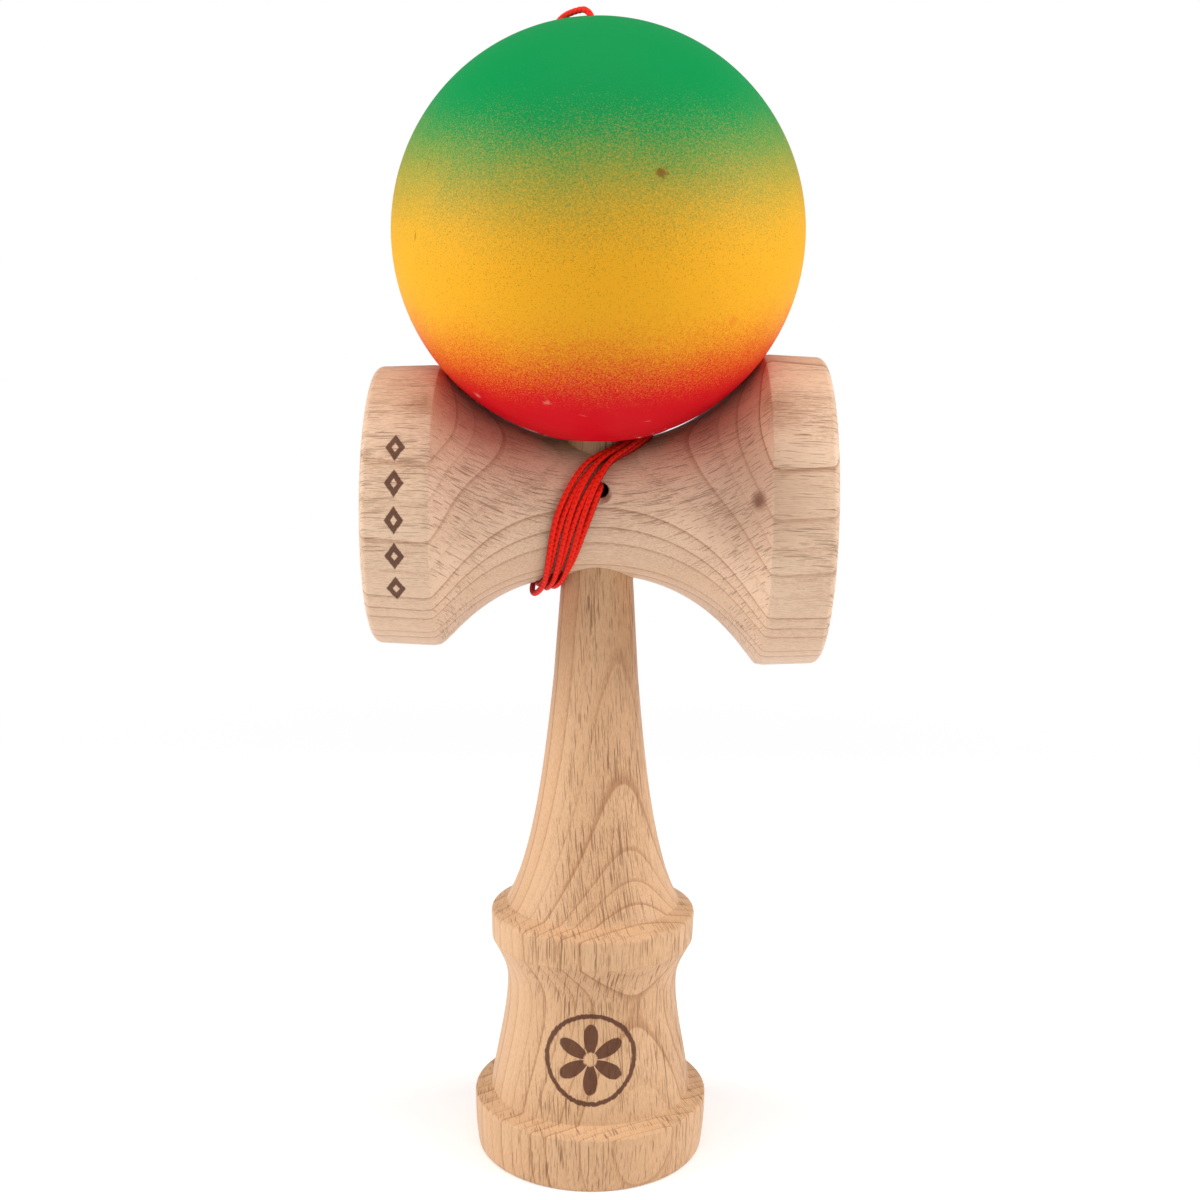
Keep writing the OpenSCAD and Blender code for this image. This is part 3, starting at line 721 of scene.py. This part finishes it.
def grow(name, points, closed, tree, inputs):
    """Draws the points as a curve, in metres, and lets the tree grow a mesh on it, as a plain object."""
    curve = bpy.data.curves.new(name, "CURVE")
    curve.dimensions = "3D"
    spline = curve.splines.new("POLY")
    spline.points.add(len(points) - 1)
    spline.points.foreach_set("co", np.concatenate([points, np.ones((len(points), 1))], 1).ravel())
    spline.use_cyclic_u = closed
    drawn = add_object(name + "_route", curve)
    modifier = drawn.modifiers.new("Grow", "NODES")
    modifier.node_group = tree
    for item in tree.interface.items_tree:
        if item.in_out == "INPUT" and item.name in inputs:
            modifier[item.identifier] = inputs[item.name]
    mesh = plain_mesh(drawn, name)
    bpy.data.objects.remove(drawn)
    bpy.data.curves.remove(curve)
    return add_object(name, mesh)


def plain_mesh(obj, name):
    bpy.context.view_layer.update()
    evaluated = obj.evaluated_get(bpy.context.evaluated_depsgraph_get())
    mesh = bpy.data.meshes.new_from_object(evaluated)
    mesh.name = name
    if not mesh.polygons:
        raise RuntimeError(f"{name} came out empty")
    return mesh


def turned(name, outline, material, turn=(0, 0, 0), place=(0, 0, 0), closed=False, segments=224):
    """A turned piece from [radius, height] points in millimetres, with faces outward and edges crisp."""
    path_r = 20.0
    points = np.stack([outline[:, 0] - path_r, -outline[:, 1], np.zeros(len(outline))], 1) * MM
    piece = grow(name, points, closed, turned_tree(), {
        "Segments": segments, "Path Radius": path_r * MM, "Turn": Euler(turn), "Place": Vector(place) * MM,
        "Material": material})
    tidy_mesh(piece.data)
    return piece


def tidy_mesh(mesh):
    """Turns the faces outward, and shades them smooth but for the edges that are sharp."""
    crisp = math.radians(38)
    form = bmesh.new()
    form.from_mesh(mesh)
    bmesh.ops.recalc_face_normals(form, faces=form.faces)
    for face in form.faces:
        face.smooth = True
    for edge in form.edges:
        edge.smooth = not edge.is_manifold or edge.calc_face_angle(0) < crisp
    form.to_mesh(mesh)
    form.free()


def drilled(piece, *cutters):
    """Takes the cutters out of the piece and removes them."""
    for cutter in cutters:
        cut = piece.modifiers.new("Drill", "BOOLEAN")
        cut.operation, cut.solver, cut.object = "DIFFERENCE", "EXACT", cutter
    name, old = piece.data.name, piece.data
    mesh = plain_mesh(piece, name)
    piece.modifiers.clear()
    piece.data = mesh
    bpy.data.meshes.remove(old)
    for cutter in cutters:
        bpy.data.objects.remove(cutter)
    tidy_mesh(piece.data)


def dressed(piece, slot, body, *nodes):
    """The piece stands for these nodes and rides on their body. The slot is not used."""
    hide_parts(*nodes)
    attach(piece, body)
    return piece


def along_y(name, outline, x, z, material):
    """A cutter turned about an axis that runs from the front to the back, from [radius, y] points."""
    return turned(name, np.array(outline, float), material, turn=(math.radians(-90), 0, 0), place=(x, 0, z),
                  segments=48)


# Operators

# Place and size of each lamp in metres, and the setting that holds its power
lamps = {
    "Lamp_left": ((-0.4, -0.1, 0.25), 0.36, "side_watts"),
    "Lamp_right": ((0.4, -0.1, 0.27), 0.36, "side_watts"),
    "Lamp_top": ((0.0, -0.12, 0.52), 0.45, "top_watts"),
}
lamps_aim = Vector((0, 0, 0.09))
# Radius of the floor, where it starts and ends to fade into white, and how much it glows where it is seen
floor_r, fade_from, fade_to, floor_glow = 6, 0.1, 0.34, 0.25


def add_camera(scene):
    focal, image, pitch, yaw, roll = 1548.44, 1200, 0.15861, 0.0006, -0.0139
    place = Vector((0.33162, -234.38878, 125.16883)) * MM
    camera = add_object("Camera", bpy.data.cameras.new("Camera"))
    camera.data.sensor_width = 36
    camera.data.lens = camera.data.sensor_width * focal / image
    camera.data.clip_start = 0.01
    ahead = Vector((math.sin(yaw) * math.cos(pitch), math.cos(yaw) * math.cos(pitch), -math.sin(pitch)))
    right = Vector((math.cos(yaw), -math.sin(yaw), 0))
    down = ahead.cross(right)
    across = right * math.cos(roll) + down * math.sin(roll)
    up = right * math.sin(roll) - down * math.cos(roll)
    camera.matrix_world = Matrix.Translation(place) @ Matrix((across, up, -ahead)).transposed().to_4x4()
    scene.camera = camera


def add_light(scene, look):
    world = bpy.data.worlds.new("Studio")
    world.use_nodes = True
    scene.world = world
    nodes = Nodes(world.node_tree)
    path = nodes.add("ShaderNodeLightPath").outputs
    seen = nodes.math("MAXIMUM", path["Is Camera Ray"], path["Is Transmission Ray"])
    background = world.node_tree.nodes["Background"]
    background.inputs["Color"].default_value = (1, 1, 1, 1)
    world.node_tree.links.new(nodes.scaled(seen, 1 - look.sky, look.sky), background.inputs["Strength"])
    for name, (place, size, power) in lamps.items():
        lamp = bpy.data.lights.new(name, "AREA")
        lamp.shape, lamp.size, lamp.energy = "DISK", size, getattr(look, power)
        holder = add_object(name, lamp)
        holder.location = place
        holder.rotation_mode = "QUATERNION"
        holder.rotation_quaternion = (lamps_aim - Vector(place)).to_track_quat("-Z", "Y")


def add_floor(look):
    floor = bpy.data.meshes.new("Floor")
    form = bmesh.new()
    bmesh.ops.create_circle(form, cap_ends=True, radius=floor_r, segments=64)
    form.to_mesh(floor)
    form.free()
    ground = add_object("Floor", floor)
    material, nodes, shader = new_material("Floor paper", 0.9, 0.1)
    shader.inputs["Base Color"].default_value = (*look.floor, 1)
    path = nodes.add("ShaderNodeLightPath").outputs
    seen = nodes.math("MAXIMUM", path["Is Camera Ray"], nodes.math(
        "MAXIMUM", path["Is Glossy Ray"], path["Is Transmission Ray"]))
    shader.inputs["Emission Color"].default_value = (1, 1, 1, 1)
    nodes.tree.links.new(nodes.times(seen, floor_glow), shader.inputs["Emission Strength"])
    away = nodes.vector("LENGTH", nodes.add("ShaderNodeTexCoord").outputs["Object"])
    paper = nodes.add("ShaderNodeEmission", {"Color": (1, 1, 1, 1), "Strength": 1.0})
    share = nodes.times(seen, nodes.rise(away, fade_from, fade_to))
    faded = nodes.add("ShaderNodeMixShader", {0: share, 1: shader.outputs[0], 2: paper.outputs[0]})
    nodes.tree.links.new(faded.outputs[0], nodes.tree.nodes["Material Output"].inputs["Surface"])
    floor.materials.append(material)


class KENDAMA_OT_stage(bpy.types.Operator):
    """Sets up the camera, the lamps, the sky and the floor"""

    bl_idname = "kendama.stage"
    bl_label = "Stage"

    def execute(self, context):
        scene = context.scene
        scene.view_settings.view_transform = "Standard"
        add_camera(scene)
        add_light(scene, scene.kendama.stage)
        add_floor(scene.kendama.stage)
        return {"FINISHED"}


class KENDAMA_OT_string(bpy.types.Operator):
    """Winds the braided string from its hole round the waist, up behind the ball and into it"""

    bl_idname = "kendama.string"
    bl_label = "String"

    def execute(self, context):
        settings = context.scene.kendama
        look = settings.string
        route = string_route(settings, look.ring_step / MM) * MM
        material = braided(look)
        tree = string_tree()
        given = {"Diameter": look.diameter, "Sides": look.sides, "Braid": look.braid, "Relief": look.relief,
                 "Material": material}
        string = grow("string", route, False, tree, given)
        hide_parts("string_anchor", "string_wrap", "string_riser", "string_in_tama")
        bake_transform(string)
        for name, body in (("ken_knot", "handle"), ("tama_knot", "bead")):
            low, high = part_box(name)
            turn = Euler((math.radians(-90), 0, 0)) if name == "ken_knot" else tama_turn
            loop = tied_knot(0.36) * MM @ np.array(turn.to_matrix()).T + np.array((low + high) / 2)
            knot = grow(name + "_tied", loop, True, tree, given)
            tidy_mesh(knot.data)
            dressed(knot, "string", body, name)
        return {"FINISHED"}


class KENDAMA_OT_ken(bpy.types.Operator):
    """Turns the handle with its base, collar, shaft and spike"""

    bl_idname = "kendama.ken"
    bl_label = "Handle"

    def execute(self, context):
        look = context.scene.kendama.ken
        base_r, collar_r, top = look.base / MM / 2, look.collar / MM / 2, look.length / MM
        side, ridge, foot, neck = ([base_r - 0.6, 0], [base_r, 8.6], [15.8, 9.6], [13.35, 27])
        collar_low, collar_high, shaft_foot = [collar_r - 0.15, 34.3], [collar_r, 38.7], [13.5, 40.1]
        edge, base_ring, bowl_depth, nose_r = 0.45, 1.9, 6.5, 2.4
        straight, seat_low, seat_high = [6.5, 76], [5.5, 90.8], [5.3, 111.8]
        spike_foot, tip = [5.25, 113], [3.8, top - nose_r]
        belly = bezier(side, [side[0] + 0.5, 2.8], [ridge[0], ridge[1] - 2.8], ridge, 24)
        neck_low = bezier(foot, [foot[0] - 0.7, foot[1] + 6], [neck[0], neck[1] - 5.6], neck)
        neck_high = bezier(neck, [neck[0], neck[1] + 2.8], [collar_low[0] - 1.5, collar_low[1] - 2.8],
                           collar_low, 32)
        swoop = bezier(shaft_foot, [shaft_foot[0] - 4.15, shaft_foot[1] + 7.55],
                       [straight[0] + 1.15, straight[1] - 12.4], straight, 64)
        nose = [[tip[0] - nose_r + nose_r * math.cos(a), tip[1] + nose_r * math.sin(a)]
                for a in np.linspace(0, math.pi / 2, 14)[1:]]
        outline = np.concatenate([
            bowl(side[0] - edge - base_ring, bowl_depth), rounded([0, 0], side, belly[1], edge), belly[1:-1],
            rounded(belly[-2], ridge, foot, edge), rounded(ridge, foot, neck_low[2], 0.25, 5), neck_low[3:],
            neck_high[1:-1], rounded(neck_high[-2], collar_low, collar_high, edge),
            rounded(collar_low, collar_high, shaft_foot, 2 * edge),
            rounded(collar_high, shaft_foot, swoop[2], 0.4, 5), swoop[3:],
            np.linspace(seat_low, seat_high, 8), np.linspace(spike_foot, tip, 12), nose, [[0, top]],
        ])
        material = beech("Ken wood", look, (-0.017, 0.0295, 0.06), (math.radians(0.6), math.radians(-0.4), 0),
                         neck_rosette(look.rosette / MM))
        ken = turned("ken_turned", outline, material)
        x, _, z = string_hole
        hole = along_y("string_bore", [[0, -12], [bore_r, -12], [bore_r, 1.8], [0, 1.8]], x, z, material)
        pocket = along_y("knot_pocket", [[0, 0.8], [2, 0.8], [2, 12], [0, 12]], x, z, material)
        drilled(ken, hole, pocket)
        dressed(ken, "ken_wood", "handle", "ken")
        return {"FINISHED"}


class KENDAMA_OT_sarado(bpy.types.Operator):
    """Turns the cross-piece with its two cups and drills it for the handle and the string"""

    bl_idname = "kendama.sarado"
    bl_label = "Cross-piece"

    def execute(self, context):
        look = context.scene.kendama.sarado
        size, big, small = both_cups(look)
        end = size["length"] / 2
        rim, big_depth, small_depth = 2.15, 13, 12
        big_bowl = bowl(size["big_cup"] / 2 - rim, big_depth)
        small_bowl = bowl(size["small_cup"] / 2 - rim, small_depth)
        outline = np.concatenate([
            small_bowl + [0, -end], small[::-1][:-1, ::-1] * [1, -1], big[:, ::-1],
            (big_bowl * [1, -1] + [0, end])[::-1],
        ])
        material = beech("Sarado wood", look, (0, 0.030, 0.066), (0, math.radians(90.7), math.radians(0.5)),
                         band_lozenges(-28.3, size["small_cup"] / 2), sarado_dark_spots)
        sarado = turned("sarado_turned", outline, material, turn=(0, math.radians(90), 0),
                        place=(0, 0, sarado_z))
        bore = turned("seat_bore", np.array([[0, 88.8], [5.57, 88.8], [5.33, 113.8], [0, 113.8]]), material,
                      segments=128)
        x, y, z = string_hole
        hole = along_y("string_bore", [
            [0, -20], [sink_r, -20], [sink_r, y - 0.5], [bore_r, y + 0.4], [bore_r, 0], [0, 0]],
            x, z, material)
        drilled(sarado, bore, hole)
        dressed(sarado, "sarado_wood", "handle", "sarado")
        return {"FINISHED"}


class KENDAMA_OT_tama(bpy.types.Operator):
    """Turns the ball about its own axis, with the spike's hole and the string's hole, and paints it"""

    bl_idname = "kendama.tama"
    bl_label = "Ball"

    def execute(self, context):
        look = context.scene.kendama.tama
        r, hole_r, string_r = look.diameter / MM / 2, look.hole / MM / 2, look.string_hole / MM / 2
        bevel, crown = look.bevel / MM, look.crown / MM
        mouth = -math.sqrt(r * r - hole_r * hole_r)
        lip = [hole_r + bevel, -math.sqrt(r * r - (hole_r + bevel) ** 2)]
        low, high = math.asin(lip[1] / r), math.acos((string_r + 0.3) / r)
        skin = [[r * math.cos(a), r * math.sin(a)] for a in np.linspace(low, high, 150)]
        outline = np.concatenate([
            skin, [[string_r + 0.12, r - 0.12], [string_r, r - 0.4]],
            np.linspace([string_r, r - 1], [string_r, r - crown], 8),
            np.linspace([string_r + 1, r - crown], [hole_r - 0.3, r - crown], 6),
            np.linspace([hole_r, r - crown - 0.3], [hole_r, mouth + bevel], 24),
            [[hole_r + 0.25 * bevel, mouth + 0.45 * bevel], [hole_r + 0.6 * bevel, mouth + 0.1 * bevel]],
        ])
        tama = turned("tama_turned", outline, sprayed_paint(look), turn=tama_turn, place=tama_middle,
                      closed=True, segments=256)
        dressed(tama, "tama_paint", "tama", "tama")
        return {"FINISHED"}


class KENDAMA_OT_bead(bpy.types.Operator):
    """Gives the bead in the ball its wood"""

    bl_idname = "kendama.bead"
    bl_label = "Bead"

    def execute(self, context):
        bead = frame["nodes"]["string_bead"]
        bead.data.materials.clear()
        bead.data.materials.append(beech("Bead wood", context.scene.kendama.ken, tama_middle * MM, tama_turn))
        return {"FINISHED"}


class VIEW3D_PT_kendama(bpy.types.Panel):
    """The kendama's pieces and their settings"""

    bl_idname = "VIEW3D_PT_kendama"
    bl_label = "Kendama"
    bl_space_type = "VIEW_3D"
    bl_region_type = "UI"
    bl_category = "Kendama"

    def draw(self, context):
        settings = context.scene.kendama
        for piece in pieces:
            box = self.layout.box()
            box.operator(f"kendama.{piece}")
            look = getattr(settings, piece, None)
            for name in look.__annotations__ if look else ():
                box.prop(look, name)


# The operators in the order in which they run; the bead takes the handle's settings
pieces = ("stage", "string", "ken", "sarado", "tama", "bead")
classes = (
    KendamaStageSettings, KendamaKenSettings, KendamaSaradoSettings, KendamaTamaSettings,
    KendamaStringSettings, KendamaSettings, KENDAMA_OT_stage, KENDAMA_OT_string, KENDAMA_OT_ken,
    KENDAMA_OT_sarado, KENDAMA_OT_tama, KENDAMA_OT_bead, VIEW3D_PT_kendama,
)


def register():
    for item in classes:
        bpy.utils.register_class(item)
    bpy.types.Scene.kendama = PointerProperty(type=KendamaSettings)


def unregister():
    del bpy.types.Scene.kendama
    for item in reversed(classes):
        bpy.utils.unregister_class(item)


def main():
    register()
    for piece in pieces:
        getattr(bpy.ops.kendama, piece)()


if __name__ == "__main__":
    main()
